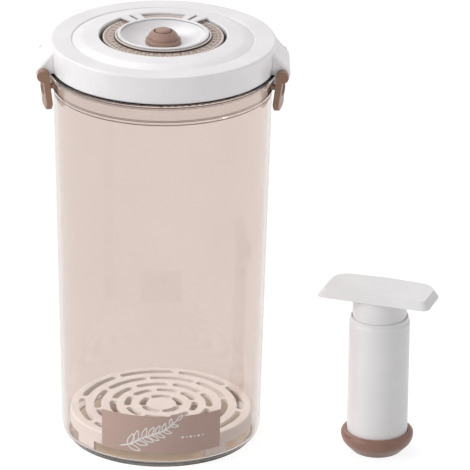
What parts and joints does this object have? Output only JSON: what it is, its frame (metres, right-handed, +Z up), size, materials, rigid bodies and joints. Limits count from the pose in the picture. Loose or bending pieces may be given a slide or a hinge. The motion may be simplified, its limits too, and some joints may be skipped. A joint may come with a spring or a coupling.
{
  "type": "vacuum seal canister",
  "caption": "Tall clear food canister with a latched white lid, date dial, release valve and drain tray, and the hand pump that draws the air out.",
  "frame": {"origin": "centre of the canister's flat base, on the surface it stands on", "axes": "+Z up, latches along X, front with the label towards -Y"},
  "size_m": [0.2401, 0.1348, 0.258],
  "materials": {
    "clear_body": "clear tinted plastic, polished",
    "label_film": "printed film",
    "white_tray": "smooth moulded plastic, semi-gloss",
    "white_lid": "smooth moulded plastic, semi-gloss",
    "white_dish": "smooth moulded plastic, semi-gloss",
    "soft_seal": "matte silicone",
    "rose_dial": "satin moulded plastic",
    "rose_silicone": "matte silicone",
    "rose_lever": "satin moulded plastic",
    "pin_steel": "drawn steel wire",
    "white_pump": "smooth moulded plastic, semi-gloss",
    "pump_seal": "matte rubber"
  },
  "bodies": {
    "canister": {"canister_body": "clear_body", "front_label": "label_film"},
    "tray": {"drain_tray": "white_tray"},
    "lid": {"lid_cover": "white_lid", "lid_plate": "white_lid", "lid_gasket": "rose_silicone", "valve_dish": "white_dish", "vent_seal": "soft_seal", "dial_retainer": "white_dish", "left_latch_pin": "pin_steel", "right_latch_pin": "pin_steel"},
    "dial": {"date_dial": "rose_dial"},
    "valve": {"release_valve": "rose_silicone"},
    "latch_left": {"left_latch": "rose_lever"},
    "latch_right": {"right_latch": "rose_lever"},
    "pump": {"pump_cylinder": "white_pump", "inlet_plate": "white_pump", "inlet_valve": "soft_seal", "seat_cup": "rose_silicone"},
    "plunger": {"plunger_sleeve": "white_pump", "piston_head": "white_pump", "piston_seal": "pump_seal", "pump_handle": "white_pump"}
  },
  "joints": [
    {"name": "tray_lift", "type": "slide", "parent": "canister", "child": "tray", "axis": [0, 0, 1], "range_m": [0, 0.2]},
    {"name": "lid_lift", "type": "slide", "parent": "canister", "child": "lid", "axis": [0, 0, 1], "range_m": [0, 0.06]},
    {"name": "dial_turn", "type": "hinge", "parent": "lid", "child": "dial", "pos_m": [0, 0, 0.253], "axis": [0, 0, 1], "continuous": true},
    {"name": "valve_lift", "type": "slide", "parent": "lid", "child": "valve", "axis": [0, 0, 1], "range_m": [0, 0.0025]},
    {"name": "latch_left_swing", "type": "hinge", "parent": "lid", "child": "latch_left", "pos_m": [-0.0704, 0, 0.2359], "axis": [0, 1, 0], "range_deg": [-9, 110]},
    {"name": "latch_right_swing", "type": "hinge", "parent": "lid", "child": "latch_right", "pos_m": [0.0704, 0, 0.2359], "axis": [0, -1, 0], "range_deg": [-9, 110]},
    {"name": "pump_lift", "type": "slide", "parent": "canister", "child": "pump", "axis": [0, 0, 1], "range_m": [0, 0.1]},
    {"name": "plunger_stroke", "type": "slide", "parent": "pump", "child": "plunger", "axis": [0, 0, 1], "range_m": [0, 0.058]}
  ]
}
